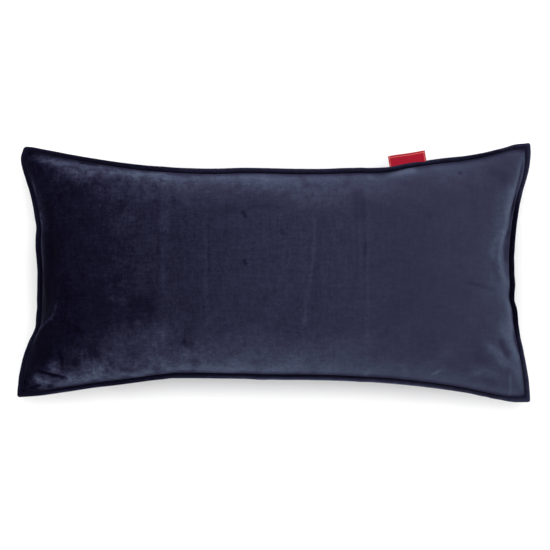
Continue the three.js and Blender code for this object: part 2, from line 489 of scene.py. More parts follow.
# Folds, dents and marks of the upper face: height and width in mm, with a dent below 0,
# how much paler it is painted there, partly the pile's own marks and partly painted highlight on
# crests and painted shade in hollows and grooves, and the points it runs through, in mm from the middle
folds = [
    # the bulge over the left seam: its crest, the painted highlight line on it, and the hollow outside it
    # with painted shade
    (3.2, 8, 0, [(-331, -34), (-335, -58), (-350, -76), (-368, -97), (-380, -125)]),
    (0, 2, 0.17, [(-331, -40), (-336, -62), (-345, -72), (-354, -81), (-363, -91), (-371, -106)]),
    (0, 1.8, 0.16, [(-342, -70), (-348, -76), (-357, -85), (-366, -95), (-373, -108)]),
    (0, 5, 0.04, [(-332, -16), (-331, -46), (-336, -61), (-350, -77)]),
    (0, 6, -0.07, [(-350, -14), (-351, -44), (-359, -68)]),
    (2.6, 7, 0, [(-368, 98), (-361, 70), (-353, 25), (-352, -18), (-354, -42)]),
    (0, 2, 0.24, [(-376, 152), (-370, 118), (-367, 92), (-363, 66)]),
    (0, 2, 0.24, [(-367, 86), (-362, 60), (-357, 20), (-358, -14), (-360, -34)]),
    (0, 3.2, -0.24, [(-361, -20), (-362, -46), (-365, -66), (-371, -88)]),
    (-2, 4, -0.04, [(-370, 50), (-365, 20), (-365, -30), (-371, -62)]),
    (1.6, 7, 0.17, [(-367, 97), (-357, 80), (-352, 60)]),
    (-1.6, 6, -0.1, [(-356, -16), (-360, -44), (-362, -66), (-366, -84)]),
    (-1.5, 6, -0.05, [(-345, 112), (-343, 60), (-340, 10)]),
    (0, 28, 0.08, [(-370, 172), (-352, 130), (-332, 100), (-300, 76)]),
    (0, 16, -0.05, [(-342, 40), (-334, 0), (-330, -34)]),
    (0, 9, 0.07, [(-384, -116), (-387, -140), (-390, -160)]),
    # lower left corner: short creases and hollows with painted shade, over a pale patch
    (0, 9, 0.3, [(-380, -159), (-363, -163), (-344, -161)]),
    (0, 13, 0.17, [(-356, -142), (-334, -150), (-308, -152)]),
    (0, 13, 0.1, [(-346, -108), (-325, -122), (-296, -140)]),
    (-1.4, 2, -0.36, [(-369, -151.5), (-345, -156.5), (-332, -159.5), (-316, -164)]),
    (0, 5, 0.12, [(-374, -144), (-354, -147), (-334, -150)]),
    (0, 6, 0.08, [(-320, -150), (-300, -148), (-286, -146)]),
    (0, 4, -0.12, [(-242, -163), (-222, -161), (-204, -162)]),
    (1.6, 6, 0.1, [(-376, -163), (-352, -168), (-318, -176)]),
    (-1, 2.4, -0.28, [(-383, -181), (-370, -177), (-359, -173)]),
    (-0.6, 4, -0.36, [(-354, -177), (-348, -174), (-341, -173)]),
    (-1.4, 4, -0.16, [(-389, -166), (-387, -176), (-386, -186)]),
    (1.2, 5, 0.1, [(-340, -128), (-336, -142), (-332, -154)]),
    (-0.9, 3, -0.14, [(-331, -116), (-328, -134), (-326, -152)]),
    (-0.8, 5, -0.1, [(-310, -126), (-305, -140), (-300, -152)]),
    (0, 12, 0.2, [(-328, -166), (-300, -160), (-272, -150), (-250, -138)]),
    (0, 12, 0.07, [(-320, -112), (-300, -124), (-280, -132)]),
    (0, 8, 0.1, [(-196, -138), (-178, -135), (-160, -133)]),
    (0, 5, -0.14, [(-190, -150), (-176, -150), (-164, -149)]),
    (0, 10, 0.08, [(-310, -144), (-260, -134), (-220, -136), (-196, -140)]),
    (0, 6, -0.08, [(300, -164), (322, -164), (350, -172)]),  # and one at the lower right
    # upper left corner: creases with painted shade and ridges with painted highlight
    (-1.2, 2.2, -0.22, [(-306, 172), (-288, 170), (-270, 167)]),
    (1.4, 6, 0.12, [(-380, 178), (-350, 173), (-316, 165)]),
    (-1.2, 7, -0.05, [(-352, 160), (-330, 150), (-312, 130)]),
    (0, 9, 0.09, [(-336, 154), (-308, 147), (-288, 141)]),
    (0, 6, 0.16, [(-338, 161), (-304, 156), (-276, 153)]),
    (0, 5, 0.1, [(-366, 134), (-361, 104), (-361, 56)]),
    (0, 10, 0.14, [(-240, 142), (-224, 138), (-206, 136)]),
    (0, 10, 0.1, [(-345, 140), (-330, 146), (-300, 146), (-288, 146)]),
    (0, 8, -0.1, [(-284, 142), (-268, 142), (-252, 140)]),
    (0, 5, 0.1, [(-186, 136), (-175, 137), (-164, 138)]),
    (0, 5, -0.1, [(-366, 158), (-357, 164), (-350, 170)]),
    # a pale patch under the label
    (0, 7, 0.26, [(170, 160), (197, 157), (224, 161)]),
    # lines left by folding, from side to side, painted paler on their ridges and darker in their dents
    (0.3, 7, 0.055, [(-167, 160), (-166, 60), (-170, 20), (-169, -40), (-165, -150)]),
    (-0.15, 3, -0.03, [(-176, 150), (-178, 90), (-176, 20), (-177, -40)]),
    (0.2, 5, 0.035, [(-102, 130), (-103, 20), (-101, -90)]),
    (0.2, 2.4, 0.025, [(-105, 110), (-105, 40), (-104, -30), (-102, -100)]),
    (-0.2, 2.2, -0.06, [(-101, 100), (-100, 60), (-99, 10), (-98, -50)]),
    (0.3, 3, 0.06, [(64, 128), (61, 66), (59, 19), (52, -28), (46, -74), (42, -116)]),
    (0, 5, -0.025, [(72, 110), (69, 40), (61, -20), (55, -70)]),
    (-0.1, 2.4, -0.01, [(133, 156), (135, 100), (137, 20), (137, -30), (136, -74), (134, -150)]),
    (0.2, 2.6, 0.03, [(139, 164), (143, 90), (143, 30), (142, -28), (142, -74), (141, -150)]),
    (0.1, 2.4, 0.02, [(130, 130), (130, 60), (131, 20), (131, -30), (131, -90)]),
    (-0.1, 2.4, -0.03, [(123, 146), (125, 100), (126, 19), (126, -30)]),
    (0, 1.6, -0.12, [(139, 50), (139, 36), (138, 24)]),
    (0, 1.6, -0.06, [(137, 20), (138, 8), (137, 0)]),
    # wide dark and pale patches of the face
    (0, 26, -0.075, [(-310, -50), (-240, -50), (-180, -54), (-140, -54)]),
    (0, 14, 0.07, [(-290, -112), (-250, -112), (-150, -112), (-60, -110)]),
    (0, 12, -0.07, [(-130, 100), (-60, 100), (0, 102), (36, 104)]),
    (0, 11, -0.08, [(118, 128), (131, 118), (134, 100), (132, 76)]),
    # pale and dark patches above the near seam, at the left
    (0, 15, 0.07, [(-262, -104), (-216, -100), (-180, -92), (-120, -96)]),
    (0, 9, 0.1, [(-352, -150), (-340, -140), (-320, -146)]),
    (0, 9, 0.08, [(-248, -112), (-236, -124), (-222, -120)]),
    (0, 12, 0.06, [(-190, -110), (-178, -96), (-166, -90)]),
    (0, 7, -0.15, [(-142, -103), (-131, -110), (-119, -109)]),
    (0, 9, -0.07, [(-286, -110), (-276, -122), (-262, -124)]),
    # puckers where the fold lines meet the seams, painted paler on their ridges
    (1.4, 6, 0.06, [(147, 170), (147, 158), (148, 140)]),
    (1.4, 6, 0.08, [(142, -169), (142, -160), (141, -148)]),
    (1, 6, 0.06, [(-172, 166), (-172, 156), (-171, 140)]),
    # the ridge beside the right seam with a painted highlight along it, and the hollow outside it with a
    # painted shadow line
    (2.8, 6, 0.09, [(362, 150), (361, 127), (357, 110), (354, 80), (352, 64), (345, 40)]),
    (2.8, 6, 0.09, [(352, 64), (345, 40), (344, 20), (346, 3), (352, -8), (360, -22)]),
    (1.2, 6, 0.1, [(352, 70), (344, 57), (337, 46), (334, 32), (337, 16)]),
    (0, 8, 0.05, [(352, 136), (350, 106), (345, 82), (339, 56)]),
    (0, 2.6, -0.45, [(377, 108), (373, 84), (370, 62), (368, 42), (367, 19), (367.5, 4), (369, -16)]),
    (-3.2, 6, -0.1, [(364, 66), (359, 40), (364, 10)]),
    (1.2, 4, 0.1, [(384, 180), (374, 146), (365, 108), (356, 80)]),
    (-0.6, 2.6, -0.3, [(388, 176), (381, 146), (374, 116), (367, 84)]),
    (-0.8, 3.2, -0.34, [(376, 124), (369, 94), (365, 68), (364, 48)]),
    (-1, 4, -0.12, [(366, 56), (361, 34), (359, 16), (360, 2), (364, -14)]),
    (0, 2.6, -0.45, [(371, -84), (376, -108), (381, -130)]),
    (0, 2.2, -0.55, [(367, -20), (367, -45), (370, -70), (375, -92)]),
    (0, 2, 0.12, [(364, -4), (368, -40), (373, -90), (381, -130)]),
    (2, 7, 0.07, [(360, -40), (364, -70), (371, -104)]),
    (0, 3, -0.12, [(381, -130), (387, -156), (390, -180)]),
    # lower right corner: folds that run out from the tip, and a faint dent above them, painted paler on
    # their ridges and darker in their hollows
    (1.8, 6, 0.07, [(312, -102), (338, -120), (366, -146), (380, -166)]),
    (-1.8, 7, -0.11, [(346, -100), (354, -116), (363, -134)]),
    (-1.2, 9, -0.05, [(300, -122), (330, -140), (357, -158)]),
    (0.8, 6, 0.08, [(322, -104), (340, -122), (360, -150)]),
    (0, 9, 0.12, [(350, -70), (359, -98), (370, -124), (376, -140)]),
    (0, 14, 0.1, [(300, -158), (326, -154), (360, -158)]),
    (0.8, 2, 0.1, [(365, -152), (366, -176), (367, -194)]),
    (0.9, 3, 0.12, [(258, -147), (250, -152), (241, -157)]),
    (-0.9, 3, -0.06, [(284, -14), (312, -19), (342, -28)]),
    # upper right corner: dents with painted shade
    (-1.2, 3, -0.1, [(284, 156), (287, 154), (290, 153)]),
    (-1.3, 3, -0.1, [(384, 192), (387, 190), (389, 187)]),
    (-0.8, 8, -0.05, [(330, 160), (352, 150), (366, 132)]),
    # puckers along the far and near seams, painted paler on their ridges and darker in their dents
    (1.2, 6, 0, [(-232, 168), (-226, 150), (-222, 132)]),
    (-1.2, 5, -0.06, [(-205, 172), (-203, 156), (-203, 138)]),
    (-1.2, 6, -0.06, [(-60, 158), (-58, 142), (-54, 122)]),
    (1.2, 8, 0.03, [(-20, 160), (-18, 140), (-16, 118)]),
    (-1, 7, -0.05, [(40, 158), (44, 140), (50, 124)]),
    (-1, 6, -0.05, [(118, 160), (112, 142), (104, 126)]),
    (1.2, 8, 0.03, [(214, 172), (208, 152), (204, 134)]),
    (-1.2, 6, -0.07, [(-214, -158), (-206, -142), (-196, -128)]),
    (1.6, 4, 0.1, [(-190, -168), (-210, -160), (-236, -150)]),
    (-1.2, 6, -0.07, [(-128, -160), (-124, -142), (-122, -124)]),
    (1, 8, 0.04, [(-70, -160), (-66, -142), (-60, -122)]),
    (-1, 5, -0.06, [(-22, -160), (-30, -146), (-36, -130)]),
    (-1, 7, -0.04, [(62, -162), (56, -142), (50, -126)]),
    (1, 7, 0.03, [(204, -168), (198, -150), (190, -132)]),
    # marks that a finger leaves in the pile
    (0, 3.2, -0.2, [(-49, 96), (-45, 89), (-42, 83)]),
    (0, 3.5, -0.12, [(8, 67), (13, 62), (17, 56)]),
    (0, 3, -0.18, [(-47, 21), (-44, 16), (-42, 10)]),
    (0, 3, -0.07, [(44, 136), (58, 135), (74, 133)]),
    (0, 3.4, -0.07, [(-72, 130), (-68, 126), (-62, 124)]),
    (0, 3.6, -0.09, [(-134, 138), (-130, 134), (-130, 128)]),
    (0, 4, -0.08, [(-276, -6), (-266, -14), (-254, -20)]),
    (0, 4, -0.09, [(-306, -82), (-298, -90), (-290, -98)]),
    (0, 2.6, 0.05, [(-240, -38), (-228, -46), (-218, -60)]),
    (0, 2.6, 0.05, [(-268, 62), (-256, 70), (-244, 68)]),
    (0, 2.6, -0.05, [(96, 60), (101, 54), (104, 46)]),
    (0, 3, -0.05, [(232, 92), (236, 88), (240, 80)]),
]
# A painted sheen band beside the far and near seams: how far in and how wide, in metres, and
# how strong it is by the place along the pillow
seamSheenBands = {
    "upper": (
        0.008, 0.010, [(-0.38, 0.5), (-0.32, 0.5), (-0.2, 0.55), (0, 0.3), (0.2, 0.25), (0.3, 0)],
    ),
    "lower": (
        0.006, 0.013, [(-0.38, 0.4), (-0.33, 0.75), (-0.2, 0.6), (0, 0.4), (0.2, 0.2), (0.3, 0)],
    ),
}
seamShade = {"width": 0.0036, "tone": -0.24}  # painted shade along the seams
unevenness = {  # slow swells of the whole cover: height in mm, and their length in metres
    "swells": [(1.3, 0.17), (0.7, 0.075), (0.22, 0.034), (0.08, 0.017)],
    "waysEach": 7,  # directions that each length runs in
    "seed": 5,
    "seamFade": 0.012,  # height above the seam where they and the folds reach full size
    "floorSoftness": 0.001,
}


def alongRoute(places, route):  # how far each place is from the route, and its share of the way
    route = np.array(route, float) * mm
    passed = wayAlong(route)
    nearest, share = np.full(len(places), np.inf), np.zeros(len(places))
    for start, end, length, before in zip(route[:-1], route[1:], np.diff(passed), passed):
        step = np.clip((places - start) @ (end - start) / length**2, 0, 1)
        distance = np.linalg.norm(places - start - step[:, None] * (end - start), axis=1)
        closer = distance < nearest
        nearest[closer] = distance[closer]
        share[closer] = ((before + step * length) / passed[-1])[closer]
    return nearest, share


def foldsAt(places):
    height, paler = np.zeros(len(places)), np.zeros(len(places))
    for rise, width, tone, route in folds:
        distance, share = alongRoute(places, route)
        ends = np.clip(6 * share * (1 - share), 0, 1)  # fades over the last fifth at each end
        weight = bell(distance, width * mm) * ends
        height += rise * mm * weight
        paler += tone * weight
    return height, paler


def sheenBandAt(places):  # painted sheen bands beside the far and near seams, and the painted shade in the seams themselves
    band, seamShadeTone = np.zeros(len(places)), np.zeros(len(places))
    fine = np.linspace(0, 1, 400)
    for name, (inward, width, rows) in seamSheenBands.items():
        seam = sidePoints(name, fine, outlineSet["flangeWidth"])
        distance = np.abs(places[:, 1] - np.interp(places[:, 0], seam[:, 0], seam[:, 1]))
        strength = np.interp(places[:, 0], *zip(*rows))
        band += strength * bell(distance - inward, width)
        seamShadeTone += bell(distance, seamShade["width"])
    return band, seamShadeTone * seamShade["tone"]


def swellAt(places, s):
    chance = np.random.default_rng(s["seed"])
    height = np.zeros(len(places))
    for rise, length in s["swells"]:
        for _ in range(s["waysEach"]):
            turn, phase = chance.uniform(0, 2 * math.pi, 2)
            way = np.array([math.cos(turn), math.sin(turn)]) / (length * chance.uniform(0.8, 1.25))
            height += rise * mm / math.sqrt(s["waysEach"]) * np.sin(2 * math.pi * places @ way + phase)
    return height


def finerAbove(mesh):  # the upper panel's quads are split in four once more
    shape = bmesh.new()
    shape.from_mesh(mesh)
    shape.faces.ensure_lookup_table()
    upper = shape.faces[: len(shape.faces) // 2]
    edges = list({edge for face in upper for edge in face.edges})
    bmesh.ops.subdivide_edges(shape, edges=edges, cuts=1, use_grid_fill=True)
    return meshFrom("cushion_finer", shape)


def foldedPanels(mesh, s):  # pushes the swells and folds into the panels
    points = vertexValues(mesh)
    normals = vertexValues(mesh, "normal")
    size = [cushionSet["flatLength"] / 2, cushionSet["flatWidth"] / 2]
    across = np.clip(points[:, :2] / size, -1, 1)
    above = points[:, 2] - seamLevel(across[:, 0], across[:, 1])
    fade = np.clip(np.abs(above) / s["seamFade"], 0, 1)
    upper = above > 0
    height, paler = foldsAt(points[:, :2])
    push = (height * upper + swellAt(points[:, :2] * np.where(upper, 1, -1)[:, None], s)) * fade
    points += normals * push[:, None]
    points[:, 2] = aboveFloor(points[:, 2], s["floorSoftness"])
    mesh.vertices.foreach_set("co", points.ravel())
    band, seamShadeTone = sheenBandAt(points[:, :2])
    # the folds' tones, with their painted highlights and shade, and the painted shade along the seams
    addAttribute(mesh, "paler", paler * upper + seamShadeTone)
    # the painted sheen bands beside the far and near seams
    addAttribute(mesh, "seamBand", band)
    mesh.update()
    return mesh


flangeSet = {
    "step": 0.003,  # between sections along the edge
    # share of the way from the seam to the outer edge, and half the thickness in mm
    "section": [
        (-0.2, 0.2), (0.0, 0.3), (0.1, 0.7), (0.22, 1.6), (0.4, 2.1), (0.6, 2.15), (0.8, 1.9),
        (0.93, 1.3), (0.985, 0.6),
    ],
    # waves along the edge: height in mm, and how many to the metre
    "waves": [(0.7, 5.3), (0.45, 13.7), (0.22, 41.0)],
    "phaseStep": 1.7,  # from one wave to the next
    "ripple": 0.18,  # mm, on the thickness
    "rippleCount": 331,  # in all, round the edge
    "cornerCut": 0.13,  # of each tip, as a share of its way out
}


def edgeLoop(step, inset):  # once round, anticlockwise, without repeating the corners
    loop = []
    for name, backwards in (("lower", False), ("right", False), ("upper", True), ("left", True)):
        length = np.linalg.norm(np.diff(sides[name]["line"][[0, -1]], axis=0))
        places = evenPlaces(name, round(length / step), inset)
        places = places[::-1] if backwards else places
        loop += [(name, place) for place in places[:-1]]
    return loop


def loopPoints(loop, inset):
    points = np.zeros((len(loop), 2))
    for name in sides:
        chosen = [k for k, (side, _) in enumerate(loop) if side == name]
        points[chosen] = sidePoints(name, [loop[k][1] for k in chosen], inset)
    return points


def loopLevels(loop):
    places = []
    for name, along in loop:
        across = 2 * along - 1
        fixed = {"upper": (across, 1), "lower": (across, -1), "left": (-1, across), "right": (1, across)}
        places.append(fixed[name])
    u, v = np.array(places).T
    return seamLevel(u, v)


def flangeRoute(s):  # the seam, the outer edge, and the middle of the flange's thickness there
    width = outlineSet["flangeWidth"]
    loop = edgeLoop(s["step"], width)
    seam, outer, level = loopPoints(loop, width), loopPoints(loop, 0), loopLevels(loop)
    travelled = wayAlong(seam)
    total = travelled[-1] + np.linalg.norm(seam[0] - seam[-1])
    tips = [k for k, (_, place) in enumerate(loop) if place in (0, 1)]
    outer[tips] += (seam[tips] - outer[tips]) * s["cornerCut"]
    turn = 2 * math.pi * travelled / total
    lift = np.zeros(len(loop))
    for number, (height, perMetre) in enumerate(s["waves"]):
        lift += height * mm * np.sin(turn * round(perMetre * total) + s["phaseStep"] * number)
    ripple = s["ripple"] * mm * np.sin(turn * s["rippleCount"])
    return seam, outer, level, lift, ripple


def acrossFlange(route, share, half):  # one line along it, half the thickness from its middle
    seam, outer, level, lift, ripple = route
    outward = min(max(share, 0), 1)
    height = level + lift * outward + half * mm + ripple * outward * np.sign(half)
    return np.column_stack([seam + (outer - seam) * share, height])


def flangeMesh(s):
    route = flangeRoute(s)
    section = s["section"] + [(1.0, 0.0)] + [(share, -half) for share, half in s["section"][::-1]]
    points = np.stack([acrossFlange(route, share, half) for share, half in section], 1)
    rows, columns = points.shape[:2]
    index = np.arange(rows * columns).reshape(rows, columns)
    ahead, beside = np.roll(index, -1, 0), np.roll(index, -1, 1)
    faces = np.stack([index, beside, np.roll(beside, -1, 0), ahead], -1).reshape(-1, 4)
    mesh = meshOf("flange", points.reshape(-1, 3).tolist(), [], faces.tolist())
    addAttribute(mesh, "acrossFlange", np.tile([min(max(share, 0), 1) for share, _ in section], rows))
    return mesh


def makeCushion(s):
    cell = s["cell"]
    frames = s["frames"]
    mesh, rest, index, backIndex = coverMesh(s, cell)
    rim = index == backIndex
    points = inflated(mesh, rest, index[rim].tolist(), s, frames)
    points[:, 2] = aboveFloor(points[:, 2], s["floorSoftness"])
    faces = [list(face.vertices) for face in mesh.polygons]
    shaped = meshOf("cushion_shaped", points.tolist(), [], faces)
    onRim = np.zeros(len(points), bool)
    onRim[index[rim]] = True
    panels = foldedPanels(finerAbove(subdivided(shaped, onRim)), unevenness)
    whole = bmesh.new()
    whole.from_mesh(panels)
    panelFaces = len(whole.faces)
    whole.from_mesh(flangeMesh(flangeSet))
    for number, face in enumerate(whole.faces):
        face.smooth = True
        face.material_index = int(number >= panelFaces)
    return placed("cushion_cover", meshFrom("cushion_cover", whole))


# Velvet: a dark pile, with painted sheen where the face turns steep and in bands beside the far and near
# seams, and painted shade in the seams, grooves and hollows.
# Tones run from 0.1 for the darkest pile to 1 for the palest.

velvetSet = {
    "pileTones": [  # tone, and its colour on a scale of 0 to 255
        (0.0, (4, 3, 14)), (0.1, (8, 6, 22)), (0.26, (19, 18, 37)), (0.52, (44, 45, 66)),
        (0.59, (51, 52, 73)), (0.7, (60, 66, 87)), (0.86, (75, 83, 104)), (1.0, (86, 97, 119)),
    ],
    "lightOnFace": 1.4,  # how much brighter the lamps make it than its own colour
    "specular": 0.02,
    "roughness": 0.9,
    "sheenTint": (0.027, 0.027, 0.055),
    "sheenRoughness": 0.3,
    # tone of the level face by its place along the pillow, in metres from the middle, darker towards the
    # left
    "alongTone": [
        (-0.36, 0.08), (-0.333, 0.115), (-0.302, 0.2), (-0.271, 0.27), (-0.224, 0.33),
        (-0.177, 0.345), (-0.115, 0.4), (-0.053, 0.46), (0.01, 0.49), (0.072, 0.51),
        (0.134, 0.525), (0.197, 0.52), (0.259, 0.54), (0.34, 0.55),
    ],
    "wander": 0.08,  # how far those tones stray from their places
    "slopeLight": 0.14,  # painted light and shade: paler where the face turns right, darker where it turns left
    "slopeLightRange": (-0.2, 0.5),
    "leftPart": (-0.2, -0.06),  # where the left part, with its cloudy patches, ends
    "rightPart": (0.0, 0.25),  # where the right part, with less of the fine unevenness, begins
    "patches": (0.055, 0.242),  # on the whole face, and added in the left part
    "fine": (0.48, 0.6),  # and the share of it that the right part loses
    "threadLines": 0.4,  # of the fine unevenness
    "inMarks": 2.5,  # the fine unevenness again, where the folds' tones lie
    # the painted sheen bands beside the far and near seams: their tone, and where their edges fall
    "sheenBandTone": 0.3,
    "sheenBandEdge": (0.05, 1.15),
    # scale, detail and roughness of each unevenness, and its stretch each way
    "noises": {
        "drift": (9.0, 3.0, 0.55),
        "clouds": (26.0, 5.0, 0.72, (1.0, 0.85, 1.0)),
        "grain": (150.0, 4.0, 0.95),
        "acrossLines": (70.0, 3.0, 0.8, (4.0, 0.5, 1.0)),
        "alongLines": (70.0, 3.0, 0.8, (0.5, 4.0, 1.0)),
        "edges": (34.0, 5.0, 0.75),
    },
    # painted sheen where the face turns steep: how steep, as the level part of its normal, at its start
    # and end, and its tone
    "farSheen": (0.24, 0.84, 0.24),
    "nearSheen": (0.12, 0.86, 0.28),
    "rightSheen": (0.4, 0.85, 0.14),
    # how much of the first two shows, by the place along the pillow
    "farShare": [(-0.05, 1.0), (0.01, 0.85), (0.134, 0.5), (0.197, 0.5), (0.26, 0.6), (0.34, 0.3)],
    "nearShare": [(-0.3, 1.0), (-0.1, 0.9), (0.0, 0.85), (0.134, 0.52), (0.26, 0.55), (0.34, 0.45)],
    "ragged": (0.252, 0.924),  # raggedness of the painted sheen's edges, on the whole face, and added in the left part
}
# Tones of the flange, painting its shade: darker beside the groove where the panel shades it, darkest
# along the middle of the right side, lighter towards the outer edge: a place in metres, the tone beside
# the groove, and at the outer edge
flangeSides = {
    "far": [  # by the place along the pillow
        (-0.39, 0.2, 0.38), (-0.3, 0.24, 0.24), (-0.19, 0.26, 0.26), (-0.11, 0.32, 0.43),
        (0.26, 0.28, 0.43), (0.33, 0.22, 0.34), (0.39, 0.42, 0.5),
    ],
    "near": [
        (-0.39, 0.18, 0.4), (-0.33, 0.18, 0.5), (-0.24, 0.2, 0.26), (-0.11, 0.24, 0.5),
        (0.01, 0.24, 0.74), (0.25, 0.38, 0.68), (0.33, 0.34, 0.54), (0.39, 0.42, 0.58),
    ],
    "left": [  # by the place across it
        (-0.19, 0.2, 0.26), (-0.135, 0.24, 0.22), (-0.105, 0.34, 0.28), (-0.08, 0.2, 0.22),
        (-0.055, 0.19, 0.23), (-0.01, 0.14, 0.22), (0.04, 0.11, 0.21), (0.085, 0.26, 0.26),
        (0.13, 0.22, 0.18), (0.19, 0.2, 0.28),
    ],
    "right": [
        (-0.19, 0.4, 0.62), (-0.15, 0.38, 0.6), (-0.105, 0.3, 0.42), (-0.07, 0.05, 0.1),
        (0.04, 0.06, 0.2), (0.09, 0.08, 0.24), (0.125, 0.38, 0.48), (0.19, 0.32, 0.5),
    ],
}
flangeLook = {
    "outward": (0.3, 1.0),  # from the tone beside the groove to the outer one
    "worn": 1.1,
    # painted shade in the groove beside the seam, and how far across it reaches
    "groove": 0.08,
    "grooveAcross": (0.05, 0.22),
    "groovePale": 0.27,  # the groove's painted shade is lighter at the right corners, and where those begin:
    "cornerAlong": (0.2, 0.36),
    "cornerAcross": (0.006, 0.012),  # the square of the way from the middle
    "middle": 0.01,
}
flangeEnds = (0.345, 0.372)  # from the long sides' tones to the short sides'


def finishVelvet(shader, tone, bump, s):
    stops = [
        (place, tuple(part / s["lightOnFace"] for part in colorOf(*color)))
        for place, color in s["pileTones"]
    ]
    return shader.finish(
        Base_Color=shader.node("ValToRGB", {"stops": stops}, {"Fac": tone}),
        Roughness=s["roughness"],
        Specular_IOR_Level=s["specular"],
        Sheen_Weight=1.0,
        Sheen_Roughness=s["sheenRoughness"],
        Sheen_Tint=s["sheenTint"],
        Normal=bump,
    )


def rampOf(shader, value, rows):  # straight lines through (place, tone) rows
    first, last = rows[0][0], rows[-1][0]
    values = {"Value": value, "From Min": first, "From Max": last}
    share = shader.node("MapRange", {}, values)
    stops = [((place - first) / (last - first), (tone,) * 3) for place, tone in rows]
    return shader.node("ValToRGB", {"stops": stops}, {"Fac": share})


def parts(shader, vector):  # its X, Y and Z
    first = shader.node("SeparateXYZ", {}, {0: vector})
    return [Socket(shader, output) for output in first.link.node.outputs]


def pileBump(shader, place):
    return shader.bump(0.2, 0.0008, shader.noise(place, 700.0, 3.0, 0.7))


def faceVelvet(s):
    shader = Shader("velvet_face")
    place = shader.place()
    x, _, _ = parts(shader, place)
    nx, ny, _ = parts(shader, shader.node("TexCoord", {}, {}, "Normal"))
    paler, band = shader.attribute("paler"), shader.attribute("seamBand")

    def uneven(name):
        return shader.noise(place, *s["noises"][name]) - 0.5

    drift = uneven("drift")
    alongLevel = rampOf(shader, x + drift * s["wander"], s["alongTone"])
    leftPart = 1 - x.eased(*s["leftPart"])
    rightPart = x.eased(*s["rightPart"])
    everywhere, added = s["patches"]
    patches = uneven("clouds") * (leftPart * added + everywhere)
    fine = uneven("grain")
    lines = uneven("acrossLines") * s["threadLines"]
    texture = fine + lines + uneven("alongLines") * s["threadLines"]
    strength, lost = s["fine"]
    texture = texture * strength * (1 - rightPart * lost)

    # ragged edges of the painted sheen below
    everywhere, added = s["ragged"]
    edgeNoise = uneven("edges") * (everywhere + leftPart * added)
    # painted sheen in the bands beside the far and near seams
    rise = (band + edgeNoise * 2).eased(*s["sheenBandEdge"]) * s["sheenBandTone"]
    # painted sheen: paler where the face turns steep towards the far, near and right sides
    for steep, held, (start, end, tone) in (
        (ny, rampOf(shader, x, s["farShare"]), s["farSheen"]),
        (ny * -1, rampOf(shader, x, s["nearShare"]), s["nearSheen"]),
        (nx, 1.0, s["rightSheen"]),
    ):
        rise = (steep + edgeNoise).eased(start, end) * tone * held + rise
    # painted light and shade by which way the face turns, left or right
    lowest, highest = s["slopeLightRange"]
    slope = shader.node("Clamp", {}, {"Value": nx, "Min": lowest, "Max": highest})
    # the folds' tones: marks in the pile, painted highlights on crests, and painted shade in hollows,
    # grooves and seams
    marks = paler * (fine * s["inMarks"] + 1)
    tone = alongLevel + slope * s["slopeLight"] + patches + texture + rise + marks
    return finishVelvet(shader, tone, pileBump(shader, place), s)


def flangeVelvet(s, rows, look):
    shader = Shader("velvet_flange")
    place = shader.place()
    x, y, _ = parts(shader, place)
    across = shader.attribute("acrossFlange")
    far = y.eased(-0.05, 0.05)
    right = x.eased(*flangeEnds)
    left = (x * -1).eased(*flangeEnds)
    level = []
    for part in (1, 2):  # beside the groove, then at the outer edge
        tones = {
            name: rampOf(shader, where, [(row[0], row[part]) for row in rows[name]])
            for name, where in (("far", x), ("near", x), ("left", y), ("right", y))
        }
        tone = far * tones["far"] + (1 - far) * tones["near"]
        tone = tone * (1 - right) + right * tones["right"]
        level.append(tone * (1 - left) + left * tones["left"])
    outward = across.eased(*look["outward"])
    tone = level[0] * (1 - outward) + level[1] * outward
    worn = shader.noise(place, 120.0, 4.0, 0.8) - 0.5
    tone = tone * (1 + worn * look["worn"])
    # painted shade in the groove beside the seam, lighter at the right corners
    off = y - look["middle"]
    corner = (off * off).eased(*look["cornerAcross"]) * x.eased(*look["cornerAlong"])
    grooveShade = 1 - across.eased(*look["grooveAcross"])
    dark = corner * (look["groovePale"] - look["groove"]) + look["groove"]
    tone = tone * (1 - grooveShade) + grooveShade * dark
    return finishVelvet(shader, tone, pileBump(shader, place), s)


# Label: a woven ribbon, folded double and sewn into the far seam

labelSet = {
    "turn": math.radians(9),  # of its width, from the length of the pillow
    "shift": (-0.0016, 0.0010),  # of the sewn place
    "layer": 0.00042,
    "across": 36,  # faces
    "along": 13,  # faces in each layer
    "foldFaces": 8,
    "curl": 0.0007,
    "curlWave": (5.2, 0.6, 0.6),  # radians over its width, their start, and a lift
    "curlFrom": 0.3,  # share of its reach where it comes free of the seam
    "edgeWave": (0.0003, 8),  # of the fold, and radians over its width
    "body": colorOf(146, 11, 35),
    "border": colorOf(205, 106, 100),
    "borderInset": 0.0019,
    "borderFromFold": 0.003,
    "lineHalf": (0.0003, 0.0007),  # half the border line's width, at its core and its rim
    "selvedge": (0.0008, 0.0014),
    "ribPitch": 0.0007,
    "threadsPerRib": 1.6,
}


